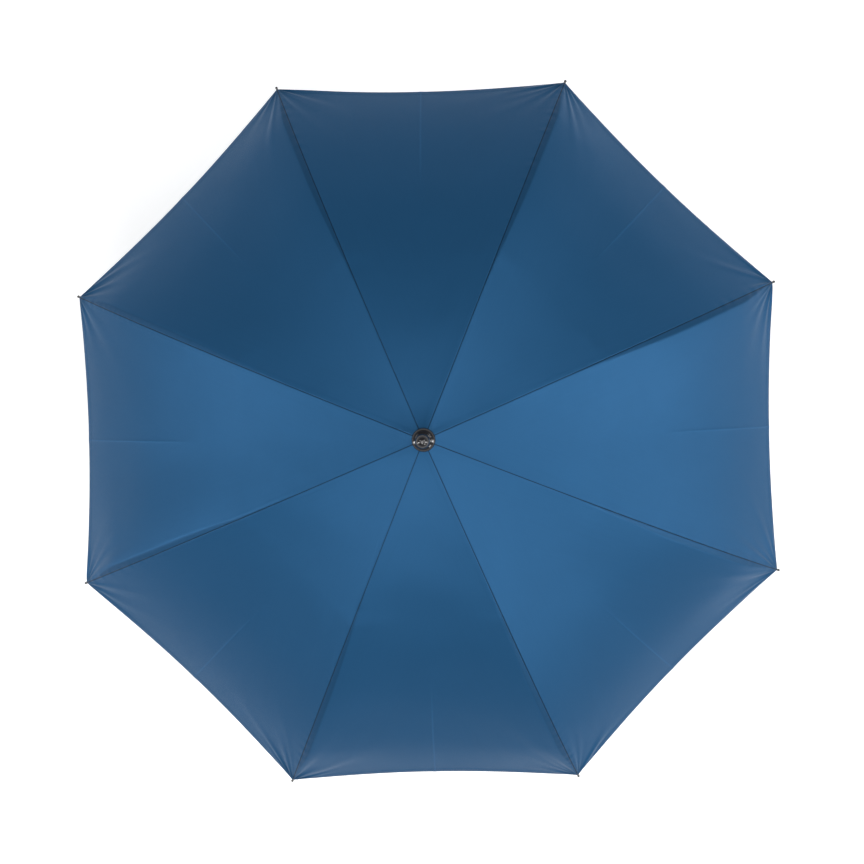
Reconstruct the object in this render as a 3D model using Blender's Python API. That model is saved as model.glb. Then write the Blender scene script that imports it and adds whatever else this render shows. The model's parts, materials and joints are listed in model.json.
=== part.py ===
"""Stick umbrella, open: shaft, crown, runner, eight jointed ribs and a fabric canopy.

Metres, +Z along the shaft towards the ferrule, origin in the middle of the grip.
Rib number i stands at RIB_AZIMUTHS[i - 1]. Each moving piece has its origin on its hinge.
"""

from math import acos, asin, atan2, cos, degrees, hypot, pi, radians, sin, tau

import bmesh
import bpy
from mathutils import Matrix, Vector

MM = 0.001
GAP = 0.3 * MM  # left between touching pieces

# Frame: ribs, stretchers and their pivots
RIB_COUNT = 8
RIB_LENGTH = 0.585  # from the crown's wire to the end of the rib
PIVOT_RADIUS = 11 * MM  # of both wire rings
CROWN_Z = 0.66
JOINT_AT = 0.27  # length of rib between the crown and its joint
STRETCHER_DROP = 6 * MM  # from the rib's line to the stretcher's pivot
SLOPE_AT_CROWN = radians(7)
SLOPE_GAIN = radians(43)  # more slope at the tip than at the crown
SLOPE_POWER = 1.5
CLOSING_ANGLE = radians(73.7)
RIB_AZIMUTHS = [radians(22.5 + 45 * i) for i in range(RIB_COUNT)]
HALF_PANEL = pi / RIB_COUNT

# Rods, eyes and brackets
ROD_RADIUS = 1.5 * MM
ROD_END_RADIUS = 1.1 * MM
ROD_SIDES = 6
EYE_RADIUS = 2.1 * MM
EYE_HOLE = 1.15 * MM
EYE_THICKNESS = 2 * MM
TAB_LENGTH = 5 * MM  # from an eye's middle to where the round rod starts
WIRE_RADIUS = 0.75 * MM
CHEEK_INNER = 1.3 * MM  # half the room between a bracket's cheeks
CHEEK_OUTER = 2.1 * MM
CHEEK_RADIUS = 2.2 * MM
BRACKET_LENGTH = 11 * MM
SLOT_HALF = 1.3 * MM  # half the width of a slot in the crown and the runner

# Shaft and what is on it
SHAFT_RADIUS = 5 * MM
SHAFT_BORE = 4.2 * MM
SHAFT_SIDES = 20
TURNED_SIDES = 24
BORE_RADIUS = SHAFT_RADIUS + GAP
GRIP_HALF = 0.055
GRIP_RADIUS = 11.5 * MM
CROOK_RADIUS = 0.034
CROOK_TURN = radians(188)
COLLAR_HEIGHT = 12 * MM
SHAFT_BOTTOM = -0.035
RUNNER_LENGTH = 50 * MM
RUNNER_RADIUS = 9.2 * MM
CROWN_RADIUS = 13.2 * MM
CAP_RADIUS = 16 * MM
CAP_HEIGHT = 7 * MM
FERRULE_RADIUS = 10.4 * MM
FERRULE_END_RADIUS = 9.6 * MM
FERRULE_LENGTH = 56 * MM
CATCH_REACH = 3 * MM
CATCH_HEIGHT = 15 * MM
CATCH_HALF = 1.1 * MM

# Canopy
CLOTH_OVER_RIB = 3.4 * MM
CLOTH_THICKNESS = 0.6 * MM
CLOTH_START = 17.3 * MM  # radius where the sectors meet the middle disc
HEM_AT = RIB_LENGTH - 5 * MM  # length of rib that the hem reaches
HEM_HOLLOW = 7 * MM  # how far the hem curves in between two ribs


def slope_at(length):
    """Slope of an open rib below the horizontal, at this length from the crown."""
    return SLOPE_AT_CROWN + SLOPE_GAIN * max(length, 0) ** SLOPE_POWER / RIB_LENGTH**SLOPE_POWER


def rib_point(length, lift=0.0, steps=120):
    """(radius, z) on an open rib, lifted square to it; z is measured from the crown's wire."""
    radius, z = PIVOT_RADIUS, 0.0
    part = length / steps
    for i in range(steps):
        slope = slope_at((i + 0.5) * part)
        radius += part * cos(slope)
        z -= part * sin(slope)
    slope = slope_at(length)
    return radius + lift * sin(slope), z + lift * cos(slope)


JOINT_R, JOINT_Z = rib_point(JOINT_AT)
PIN_R, PIN_Z = rib_point(JOINT_AT, -STRETCHER_DROP)
STRETCHER_LENGTH = hypot(PIN_R - PIVOT_RADIUS, PIN_Z)
OPEN_ANGLE = acos(-PIN_Z / STRETCHER_LENGTH)  # of the stretcher from the shaft
RUNNER_Z = CROWN_Z - 2 * STRETCHER_LENGTH * cos(OPEN_ANGLE)
RUNNER_Z_CLOSED = CROWN_Z - 2 * STRETCHER_LENGTH * cos(OPEN_ANGLE - CLOSING_ANGLE)
RUNNER_TOP = RUNNER_Z + 5 * MM
RUNNER_BOTTOM = RUNNER_TOP - RUNNER_LENGTH
WINDOW_FROM_TOP = 32 * MM  # from the top of the runner to the bottom of its window
WINDOW_HEIGHT = CATCH_HEIGHT + 2 * MM
CAP_Z = CROWN_Z + 6.2 * MM


def clear_scene():
    for obj in list(bpy.data.objects):
        bpy.data.objects.remove(obj, do_unlink=True)


def material(name, color, roughness, metallic=0.0):
    made = bpy.data.materials.new(name)
    made.use_nodes = True
    shader = made.node_tree.nodes["Principled BSDF"]
    shader.inputs["Base Color"].default_value = (*color, 1)
    shader.inputs["Roughness"].default_value = roughness
    shader.inputs["Metallic"].default_value = metallic
    return made


def mesh_of(bm, name):
    """The bmesh as a mesh with its faces pointing out and its round sides smooth."""
    bmesh.ops.remove_doubles(bm, verts=bm.verts, dist=1e-6)
    bmesh.ops.dissolve_degenerate(bm, edges=bm.edges, dist=1e-6)
    bmesh.ops.recalc_face_normals(bm, faces=bm.faces)
    mesh = bpy.data.meshes.new(name)
    bm.to_mesh(mesh)
    bm.free()
    return mesh


def finish_mesh(mesh, surface):
    mesh.materials.clear()
    mesh.materials.append(surface)
    mesh.shade_smooth()
    mesh.set_sharp_from_angle(angle=radians(35))
    return mesh


def place(name, mesh, location=(0, 0, 0), azimuth=0.0):
    obj = bpy.data.objects.new(name, mesh)
    bpy.context.scene.collection.objects.link(obj)
    obj.location = location
    obj.rotation_euler = (0, 0, azimuth)
    return obj


def combined(base, others, operation):
    """The mesh left by Booleans of base with each of the others, which are used up."""
    holder = place("boolean_base", base)
    helpers = [place("boolean_helper", other) for other in others]
    for helper in helpers:
        modifier = holder.modifiers.new("cut", "BOOLEAN")
        modifier.operation = operation
        modifier.object = helper
        modifier.solver = "EXACT"
    graph = bpy.context.evaluated_depsgraph_get()
    result = bpy.data.meshes.new_from_object(holder.evaluated_get(graph))
    for obj in [holder, *helpers]:
        bpy.data.objects.remove(obj, do_unlink=True)
    return result


def cut(base, *cutters):
    return combined(base, cutters, "DIFFERENCE")


def joined(base, *others):
    return combined(base, others, "UNION")


def turned(name, profile, sides=SHAFT_SIDES):
    """A closed (radius, z) outline turned round Z. Points on the axis become poles."""
    bm = bmesh.new()
    points = [bm.verts.new((radius, 0, z)) for radius, z in profile]
    edges = [bm.edges.new((a, b)) for a, b in zip(points, points[1:])]
    if profile[0][0] > 0:
        edges.append(bm.edges.new((points[-1], points[0])))
    bmesh.ops.spin(
        bm,
        geom=points + edges,
        cent=(0, 0, 0),
        axis=(0, 0, 1),
        angle=tau,
        steps=sides,
        use_merge=True,
    )
    return mesh_of(bm, name)


def box(low, high, turn=0.0):
    """A block between two corners, turned about Z."""
    bm = bmesh.new()
    bmesh.ops.create_cube(bm, size=1)
    size = Vector(high) - Vector(low)
    bmesh.ops.scale(bm, vec=size, verts=bm.verts)
    bmesh.ops.translate(bm, vec=(Vector(high) + Vector(low)) / 2, verts=bm.verts)
    bmesh.ops.rotate(bm, matrix=Matrix.Rotation(turn, 3, "Z"), verts=bm.verts)
    return mesh_of(bm, "box")


def plate(outline, y_low, y_high):
    """An (x, z) outline given a thickness along Y."""
    bm = bmesh.new()
    face = bm.faces.new([bm.verts.new((x, y_low, z)) for x, z in outline])
    grown = bmesh.ops.extrude_face_region(bm, geom=[face])
    moved = [v for v in grown["geom"] if isinstance(v, bmesh.types.BMVert)]
    bmesh.ops.translate(bm, vec=(0, y_high - y_low, 0), verts=moved)
    return mesh_of(bm, "plate")


def cross_pin(x, z, radius, half_width, sides=8):
    """A round bar along Y."""
    bm = bmesh.new()
    bmesh.ops.create_cone(
        bm, cap_ends=True, segments=sides, radius1=radius, radius2=radius, depth=2 * half_width
    )
    bmesh.ops.rotate(bm, matrix=Matrix.Rotation(pi / 2, 3, "X"), verts=bm.verts)
    bmesh.ops.translate(bm, vec=(x, 0, z), verts=bm.verts)
    return mesh_of(bm, "pin")


def rod(stations, sides=ROD_SIDES):
    """A round rod through (x, z, radius) stations in the XZ plane, with flat ends."""
    bm = bmesh.new()
    rings = []
    for i, (x, z, radius) in enumerate(stations):
        before = stations[max(i - 1, 0)]
        after = stations[min(i + 1, len(stations) - 1)]
        along = Vector((after[0] - before[0], 0, after[1] - before[1])).normalized()
        turn = along.to_track_quat("Z", "Y").to_matrix().to_4x4()
        matrix = Matrix.Translation((x, 0, z)) @ turn
        ring = bmesh.ops.create_circle(bm, segments=sides, radius=radius, matrix=matrix)["verts"]
        rings.append([e for e in bm.edges if all(v in ring for v in e.verts)])
    for first, second in zip(rings, rings[1:]):
        bmesh.ops.bridge_loops(bm, edges=first + second)
    for ends in (rings[0], rings[-1]):
        bmesh.ops.contextual_create(bm, geom=ends)
    return mesh_of(bm, "rod")


def eye_tab(eye, direction, length=TAB_LENGTH + 1.5 * MM):
    """A flat tab with a round end about the eye, running from it in this direction."""
    out = Vector((cos(direction), sin(direction)))
    side = Vector((-out.y, out.x))
    middle = Vector(eye)
    narrow = 0.8 * ROD_RADIUS
    outline = [
        middle + EYE_RADIUS * (cos(a) * out + sin(a) * side)
        for a in (radians(70 + 220 * i / 6) for i in range(7))
    ]
    outline.append(middle + out * length - side * narrow)
    outline.append(middle + out * length + side * narrow)
    return plate(outline, -EYE_THICKNESS / 2, EYE_THICKNESS / 2)


def eye_hole(eye):
    return cross_pin(*eye, EYE_HOLE, EYE_THICKNESS)


def along_rib(start, end, count, radius_start, radius_end, origin):
    """Rod stations on the open rib's line, measured from a local origin."""
    stations = []
    for i in range(count + 1):
        length = start + (end - start) * i / count
        radius, z = rib_point(length)
        thick = radius_start + (radius_end - radius_start) * i / count
        stations.append((radius - origin[0], z - origin[1], thick))
    return stations


def make_ribs(steel):
    """Inner rib: an eye on the crown's wire, a rod, and a riveted bracket for its two joints."""
    origin = (PIVOT_RADIUS, 0.0)
    fork = (JOINT_R - origin[0], JOINT_Z)
    pin = (PIN_R - origin[0], PIN_Z)
    tab = cut(eye_tab((0, 0), -SLOPE_AT_CROWN), eye_hole((0, 0)))
    bar = rod(
        along_rib(TAB_LENGTH, JOINT_AT - 6 * MM, 6, ROD_RADIUS, ROD_RADIUS, origin)
    )
    slope = slope_at(JOINT_AT)
    out = Vector((cos(slope), -sin(slope)))
    down = Vector((-sin(slope), -cos(slope)))
    middle = Vector(fork)
    block = plate(
        [
            middle - out * BRACKET_LENGTH - down * CHEEK_RADIUS,
            middle - out * 3.2 * MM - down * CHEEK_RADIUS,
            middle - out * 3.2 * MM + down * CHEEK_RADIUS,
            middle - out * BRACKET_LENGTH + down * CHEEK_RADIUS,
        ],
        -CHEEK_OUTER,
        CHEEK_OUTER,
    )
    outline = [middle - out * 4 * MM + down * 2 * MM, middle - out * 4 * MM - down * 2 * MM]
    for centre, low, high in ((middle, -90, 0), (Vector(pin), 0, 180)):
        for step in range(5):
            turn = radians(low + (high - low) * step / 4)
            outline.append(centre + CHEEK_RADIUS * (cos(turn) * out + sin(turn) * down))
    outline.append(middle - out * CHEEK_RADIUS + down * 2 * MM)
    cheeks = [plate(outline, *sides) for sides in ((CHEEK_INNER, CHEEK_OUTER), (-CHEEK_OUTER, -CHEEK_INNER))]
    rivets = [cross_pin(*at, WIRE_RADIUS, CHEEK_OUTER + 0.4 * MM, 6) for at in (fork, pin)]
    mesh = finish_mesh(joined(tab, bar, block, *cheeks, *rivets), steel)
    for i, azimuth in enumerate(RIB_AZIMUTHS):
        place(f"rib_{i + 1}", mesh, on_circle(PIVOT_RADIUS, azimuth, CROWN_Z), azimuth)


def make_rib_ends(steel):
    """Outer rib: an eye on the bracket's upper rivet and a rod that thins towards its end."""
    origin = (JOINT_R, JOINT_Z)
    tab = cut(eye_tab((0, 0), -slope_at(JOINT_AT)), eye_hole((0, 0)))
    bar = rod(
        along_rib(JOINT_AT + TAB_LENGTH, RIB_LENGTH, 8, ROD_RADIUS, ROD_END_RADIUS, origin)
    )
    mesh = finish_mesh(joined(tab, bar), steel)
    for i, azimuth in enumerate(RIB_AZIMUTHS):
        place(f"rib_end_{i + 1}", mesh, on_circle(JOINT_R, azimuth, CROWN_Z + JOINT_Z), azimuth)


def make_rib_tips(plastic):
    """Moulded caps that close the ribs' ends and take the hem's corners."""
    bore, length, depth = ROD_END_RADIUS + GAP, 16 * MM, 11 * MM
    outline = [
        (0, length),
        (0.9 * MM, length - 0.2 * MM),
        (1.7 * MM, length - 1.2 * MM),
        (2 * MM, length - 3 * MM),
        (1.7 * MM, length - 5 * MM),
        (2.3 * MM, 1 * MM),
        (2.3 * MM, 0),
        (bore, 0),
        (bore, depth),
        (0, depth),
    ]
    mesh = turned("rib_tip", outline[::-1], 8)
    mesh.transform(Matrix.Rotation(pi / 2 + slope_at(RIB_LENGTH), 4, "Y"))
    finish_mesh(mesh, plastic)
    radius, z = rib_point(RIB_LENGTH - depth + GAP)
    for i, azimuth in enumerate(RIB_AZIMUTHS):
        place(f"rib_tip_{i + 1}", mesh, on_circle(radius, azimuth, CROWN_Z + z), azimuth)


def make_stretchers(steel):
    """Straight struts from the runner's wire up to the ribs' brackets."""
    rise = atan2(PIN_Z - (RUNNER_Z - CROWN_Z), PIN_R - PIVOT_RADIUS)
    low = Vector((-STRETCHER_LENGTH * cos(rise), -STRETCHER_LENGTH * sin(rise)))
    out = -low.normalized()
    start, end = low + out * TAB_LENGTH, -out * TAB_LENGTH
    bar = rod([(start.x, start.y, ROD_RADIUS), (end.x, end.y, ROD_RADIUS)])
    lower = cut(eye_tab(low, rise), eye_hole(low))
    upper = cut(eye_tab((0, 0), rise + pi), eye_hole((0, 0)))
    mesh = finish_mesh(joined(bar, lower, upper), steel)
    for i, azimuth in enumerate(RIB_AZIMUTHS):
        place(f"stretcher_{i + 1}", mesh, on_circle(PIN_R, azimuth, CROWN_Z + PIN_Z), azimuth)


def slots(z_low, z_high, inner):
    """Eight radial slots for eyes, open outwards."""
    return [box((inner, -SLOT_HALF, z_low), (0.03, SLOT_HALF, z_high), a) for a in RIB_AZIMUTHS]


def wire_groove(z, outer, bottom):
    """Outline of the groove that a wire ring lies in, cut in from the outside."""
    half = WIRE_RADIUS + GAP
    floor = PIVOT_RADIUS - half
    points = [(outer, z + half), (floor, z + half), (floor, z - half), (outer, z - half)]
    return points[::-1] if bottom else points


def make_crown(plastic):
    top = CROWN_Z + 4.4 * MM
    profile = [
        (BORE_RADIUS, CROWN_Z - 9 * MM),
        (8 * MM, CROWN_Z - 9 * MM),
        (CROWN_RADIUS, CROWN_Z - 5 * MM),
        *wire_groove(CROWN_Z, CROWN_RADIUS, True),
        (CROWN_RADIUS, top - 1 * MM),
        (CROWN_RADIUS - 1.2 * MM, top),
        (BORE_RADIUS, top),
    ]
    body = turned("crown", profile, TURNED_SIDES)
    mesh = cut(body, *slots(CROWN_Z - 0.02, CROWN_Z + EYE_RADIUS + GAP, 8.4 * MM))
    place("crown", finish_mesh(mesh, plastic))


def make_runner(plastic):
    """Sleeve with a slotted head for the stretchers, a thumb ring and a window for the catch."""
    head = RUNNER_Z - EYE_RADIUS - GAP - 2 * MM
    profile = [
        (BORE_RADIUS, RUNNER_BOTTOM),
        (RUNNER_RADIUS, RUNNER_BOTTOM),
        (RUNNER_RADIUS + 2 * MM, RUNNER_BOTTOM + 1.2 * MM),
        (RUNNER_RADIUS + 2 * MM, RUNNER_BOTTOM + 3.2 * MM),
        (RUNNER_RADIUS - 0.6 * MM, RUNNER_BOTTOM + 7 * MM),
        (RUNNER_RADIUS - 0.6 * MM, head - 6 * MM),
        (CROWN_RADIUS, head),
        *wire_groove(RUNNER_Z, CROWN_RADIUS, True),
        (CROWN_RADIUS, RUNNER_TOP - 0.8 * MM),
        (CROWN_RADIUS - 1 * MM, RUNNER_TOP),
        (BORE_RADIUS, RUNNER_TOP),
    ]
    body = turned("runner", profile, TURNED_SIDES)
    window_top = RUNNER_TOP - WINDOW_FROM_TOP + WINDOW_HEIGHT
    window = box(
        (-CATCH_HALF - GAP, -0.02, window_top - WINDOW_HEIGHT), (CATCH_HALF + GAP, 0, window_top)
    )
    mesh = cut(body, window, *slots(head + 2 * MM, RUNNER_TOP + 0.01, 8.4 * MM))
    place("runner", finish_mesh(mesh, plastic))


def make_wires(steel):
    """The two rings that the eyes turn on."""
    for name, z in (("crown_wire", CROWN_Z), ("runner_wire", RUNNER_Z)):
        profile = [
            (PIVOT_RADIUS + WIRE_RADIUS * cos(a), z + WIRE_RADIUS * sin(a))
            for a in (tau * i / 6 for i in range(6))
        ]
        place(name, finish_mesh(turned(name, profile, TURNED_SIDES), steel))


def catch_profile(z, up):
    """(y, z) outline of a catch at -Y whose flat shoulder is at z and whose ramp runs the other way."""
    inner, face, nose = -1.9 * MM, -SHAFT_RADIUS, -SHAFT_RADIUS - CATCH_REACH
    side = -1 if up else 1
    return [
        (inner, z),
        (nose, z),
        (nose, z + side * 2.5 * MM),
        (face, z + side * CATCH_HEIGHT),
        (inner, z + side * CATCH_HEIGHT),
    ]


def make_shaft_and_catches(tube_steel, spring_steel):
    top_shoulder = RUNNER_BOTTOM - 2 * GAP
    closed_shift = RUNNER_Z_CLOSED - RUNNER_Z
    bottom_shoulder = RUNNER_TOP + closed_shift - WINDOW_FROM_TOP + 1 * MM
    top = CROWN_Z + 45 * MM
    tube = turned(
        "shaft",
        [
            (SHAFT_BORE, SHAFT_BOTTOM),
            (SHAFT_RADIUS, SHAFT_BOTTOM),
            (SHAFT_RADIUS, top),
            (SHAFT_BORE, top),
        ],
    )
    cutters = []
    for name, shoulder, up in (
        ("top_catch", top_shoulder, True),
        ("bottom_catch", bottom_shoulder, False),
    ):
        low, high = sorted((shoulder, shoulder + (-CATCH_HEIGHT if up else CATCH_HEIGHT)))
        cutters.append(
            box((-CATCH_HALF - GAP, -0.01, low - GAP), (CATCH_HALF + GAP, 0, high + GAP))
        )
        wedge = plate(catch_profile(0, up), -CATCH_HALF, CATCH_HALF)
        wedge.transform(Matrix.Rotation(pi / 2, 4, "Z"))
        place(name, finish_mesh(wedge, spring_steel), (0, 0, shoulder))
    place("shaft", finish_mesh(cut(tube, *cutters), tube_steel))


def make_top(plastic):
    """Cap that clamps the canopy's middle, and the ferrule over the end of the shaft."""
    cap = [
        (BORE_RADIUS, CAP_Z),
        (CAP_RADIUS - 0.4 * MM, CAP_Z),
        (CAP_RADIUS, CAP_Z + 0.8 * MM),
        (CAP_RADIUS - 0.8 * MM, CAP_Z + 3 * MM),
        (CAP_RADIUS - 3 * MM, CAP_Z + 5.6 * MM),
        (FERRULE_RADIUS + 0.4 * MM, CAP_Z + CAP_HEIGHT),
        (BORE_RADIUS, CAP_Z + CAP_HEIGHT),
    ]
    place("top_cap", finish_mesh(turned("top_cap", cap, TURNED_SIDES), plastic))
    base = CAP_Z + CAP_HEIGHT + GAP
    dome = base + FERRULE_LENGTH - FERRULE_END_RADIUS
    flat = asin(3 * MM / FERRULE_END_RADIUS)
    end = [
        (FERRULE_END_RADIUS * cos(a), dome + FERRULE_END_RADIUS * sin(a))
        for a in ((pi / 2 - flat) * i / 7 for i in range(8))
    ]
    bore_top = CROWN_Z + 45 * MM + GAP
    ferrule = [
        (BORE_RADIUS, base),
        (FERRULE_RADIUS, base),
        *end,
        (0, end[-1][1]),
        (0, bore_top),
        (BORE_RADIUS, bore_top),
    ]
    # The outline starts on the axis, so that its two ends become poles.
    ferrule = ferrule[-2:] + ferrule[:-2]
    place("ferrule", finish_mesh(turned("ferrule", ferrule, TURNED_SIDES), plastic))


def make_handle(plastic, trim):
    """Crook handle: a straight grip round the shaft's end, then a half turn with a round end."""
    stations = [(0, GRIP_HALF, GRIP_RADIUS), (0, -GRIP_HALF, GRIP_RADIUS)]
    for i in range(1, 13):
        turn = CROOK_TURN * i / 12
        stations.append(
            (
                -CROOK_RADIUS + CROOK_RADIUS * cos(turn),
                -GRIP_HALF - CROOK_RADIUS * sin(turn),
                GRIP_RADIUS,
            )
        )
    x, z, _ = stations[-1]
    for share in (0.35, 0.7, 0.92):
        reach = GRIP_RADIUS * share
        stations.append(
            (
                x - reach * sin(CROOK_TURN),
                z - reach * cos(CROOK_TURN),
                GRIP_RADIUS * (1 - share**2) ** 0.5,
            )
        )
    body = rod(stations, 14)
    body.transform(Matrix.Rotation(pi / 2, 4, "Z"))
    bore = turned(
        "bore",
        [
            (0, GRIP_HALF + 0.01),
            (BORE_RADIUS, GRIP_HALF + 0.01),
            (BORE_RADIUS, SHAFT_BOTTOM - GAP),
            (0, SHAFT_BOTTOM - GAP),
        ][::-1],
    )
    place("handle", finish_mesh(cut(body, bore), plastic))
    low = GRIP_HALF + GAP
    ring = [
        (BORE_RADIUS, low),
        (GRIP_RADIUS + 0.8 * MM, low),
        (GRIP_RADIUS + 0.8 * MM, low + COLLAR_HEIGHT - 4 * MM),
        (GRIP_RADIUS - 2.5 * MM, low + COLLAR_HEIGHT),
        (BORE_RADIUS, low + COLLAR_HEIGHT),
    ]
    place("collar", finish_mesh(turned("collar", ring, TURNED_SIDES), trim))


def cloth_point(length, across, side, lift):
    """(x, y, z) in a rib's frame of the cloth at this rib length, across = 0 at the rib and 1 mid-panel."""
    radius, z = rib_point(length, lift, 24)
    reach = across * (radius * sin(HALF_PANEL) - GAP / 2)
    return radius - reach * sin(HALF_PANEL), side * reach * cos(HALF_PANEL), CROWN_Z + z


def cloth_sector(name, start, end, hollow, rows, columns):
    """Cloth of one rib out to the middles of its two panels, in the frame of that rib."""
    bm = bmesh.new()
    grid = bmesh.ops.create_grid(bm, x_segments=rows, y_segments=2 * columns, size=1)["verts"]
    for vert in grid:
        along, across = (vert.co.x + 1) / 2, vert.co.y
        length = start + (end - hollow * across**2 - start) * along
        vert.co = cloth_point(length, abs(across), 1 if across > 0 else -1, CLOTH_OVER_RIB)
    grown = bmesh.ops.extrude_face_region(bm, geom=bm.faces[:])
    top = [v for v in grown["geom"] if isinstance(v, bmesh.types.BMVert)]
    bmesh.ops.translate(bm, vec=(0, 0, CLOTH_THICKNESS), verts=top)
    return mesh_of(bm, name)


def make_canopy(fabric):
    """A small disc under the cap, and for each rib an inner and an outer stretch of cloth."""
    start = CLOTH_START - PIVOT_RADIUS
    inner = finish_mesh(cloth_sector("canopy_inner", start, JOINT_AT - GAP / 2, 0, 5, 2), fabric)
    outer = finish_mesh(
        cloth_sector("canopy_outer", JOINT_AT + GAP / 2, HEM_AT, HEM_HOLLOW, 5, 3), fabric
    )
    for i, azimuth in enumerate(RIB_AZIMUTHS):
        place(f"canopy_inner_{i + 1}", inner, (0, 0, 0), azimuth)
        place(f"canopy_outer_{i + 1}", outer, (0, 0, 0), azimuth)
    bottom = CROWN_Z + 4.4 * MM + GAP
    disc = [
        (BORE_RADIUS, bottom),
        (CAP_RADIUS - 1.5 * MM, bottom),
        (CAP_RADIUS - 1.5 * MM, CAP_Z - GAP),
        (BORE_RADIUS, CAP_Z - GAP),
    ]
    place("canopy_center", finish_mesh(turned("canopy_center", disc, TURNED_SIDES), fabric))


def on_circle(radius, azimuth, z):
    return (radius * cos(azimuth), radius * sin(azimuth), z)


def report_frame():
    """Prints the places that the joints are given by."""
    for name, value in (
        ("joint radius", JOINT_R),
        ("joint z", CROWN_Z + JOINT_Z),
        ("stretcher pivot radius", PIN_R),
        ("stretcher pivot z", CROWN_Z + PIN_Z),
        ("runner pivot z", RUNNER_Z),
        ("runner pivot z, closed", RUNNER_Z_CLOSED),
    ):
        print(f"{name}: {value:.6f}")
    print(f"stretcher from the shaft: {degrees(OPEN_ANGLE):.3f} degrees open")


def main():
    clear_scene()
    rib_steel = material("rib_steel", (0.03, 0.03, 0.035), 0.4, 0.8)
    wire_steel = material("wire_steel", (0.5, 0.5, 0.5), 0.3, 1.0)
    shaft_steel = material("shaft_steel", (0.03, 0.03, 0.032), 0.3, 0.7)
    spring_steel = material("spring_steel", (0.55, 0.55, 0.56), 0.3, 1.0)
    black_plastic = material("black_plastic", (0.012, 0.012, 0.014), 0.3)
    gloss_plastic = material("gloss_plastic", (0.01, 0.01, 0.012), 0.12)
    grip_plastic = material("grip_plastic", (0.012, 0.012, 0.014), 0.45)
    collar_trim = material("collar_trim", (0.4, 0.4, 0.42), 0.25, 1.0)
    fabric = material("fabric", (0.022, 0.09, 0.23), 0.75)
    make_ribs(rib_steel)
    make_rib_ends(rib_steel)
    make_rib_tips(gloss_plastic)
    make_stretchers(rib_steel)
    make_crown(black_plastic)
    make_runner(black_plastic)
    make_wires(wire_steel)
    make_shaft_and_catches(shaft_steel, spring_steel)
    make_top(gloss_plastic)
    make_handle(grip_plastic, collar_trim)
    make_canopy(fabric)
    report_frame()


main()
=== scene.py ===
"""Looks of an open stick umbrella: a sewn eight-panel canopy over jointed steel ribs."""

import json
import logging
from dataclasses import dataclass, field
from enum import Enum
from math import atan2, cos, hypot, pi, radians, sin, tau
from typing import Iterable, Sequence

import bmesh
import bpy
import numpy as np
from mathutils import Matrix, Vector


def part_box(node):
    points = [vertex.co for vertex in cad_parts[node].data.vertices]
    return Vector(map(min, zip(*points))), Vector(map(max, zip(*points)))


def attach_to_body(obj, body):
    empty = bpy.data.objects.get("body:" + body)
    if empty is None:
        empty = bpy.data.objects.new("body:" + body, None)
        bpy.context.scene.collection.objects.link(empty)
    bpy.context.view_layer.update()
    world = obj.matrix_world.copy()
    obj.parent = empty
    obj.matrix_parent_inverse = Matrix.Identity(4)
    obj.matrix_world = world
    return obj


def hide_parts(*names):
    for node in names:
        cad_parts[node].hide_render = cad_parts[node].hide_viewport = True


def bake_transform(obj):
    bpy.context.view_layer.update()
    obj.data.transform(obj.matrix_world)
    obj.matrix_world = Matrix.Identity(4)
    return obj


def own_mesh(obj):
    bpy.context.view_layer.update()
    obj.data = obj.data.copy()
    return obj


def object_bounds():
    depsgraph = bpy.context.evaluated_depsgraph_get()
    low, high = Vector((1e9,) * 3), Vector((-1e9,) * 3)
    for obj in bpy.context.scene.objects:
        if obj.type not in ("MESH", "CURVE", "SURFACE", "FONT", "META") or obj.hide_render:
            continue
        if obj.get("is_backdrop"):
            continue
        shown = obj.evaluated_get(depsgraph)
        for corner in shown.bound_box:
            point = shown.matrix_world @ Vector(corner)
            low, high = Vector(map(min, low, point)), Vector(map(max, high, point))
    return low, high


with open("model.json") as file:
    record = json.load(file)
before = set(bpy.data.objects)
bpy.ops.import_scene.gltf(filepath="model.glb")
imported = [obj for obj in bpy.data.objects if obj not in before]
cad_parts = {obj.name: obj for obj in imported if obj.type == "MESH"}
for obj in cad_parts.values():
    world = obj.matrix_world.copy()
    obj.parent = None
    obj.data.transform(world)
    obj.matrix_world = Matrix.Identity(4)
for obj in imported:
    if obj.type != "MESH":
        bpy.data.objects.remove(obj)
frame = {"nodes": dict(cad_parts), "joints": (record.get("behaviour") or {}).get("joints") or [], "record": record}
log = logging.getLogger("umbrella")

MM = 0.001
RIBS = 8
HALF_PANEL = pi / RIBS
# the distances kept on the cloth, and the mask of its painted shade over the pressed seam allowance
CLOTH_FACTS = ("hem", "crease", "tip", "seam", "painted_strip_shade")
Profile = Sequence[tuple[float, float]]
Color = tuple[float, float, float]
Input = bpy.types.NodeSocket | float | tuple[float, ...]
Facts = dict[str, bpy.types.NodeSocket]


# Materials


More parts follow.
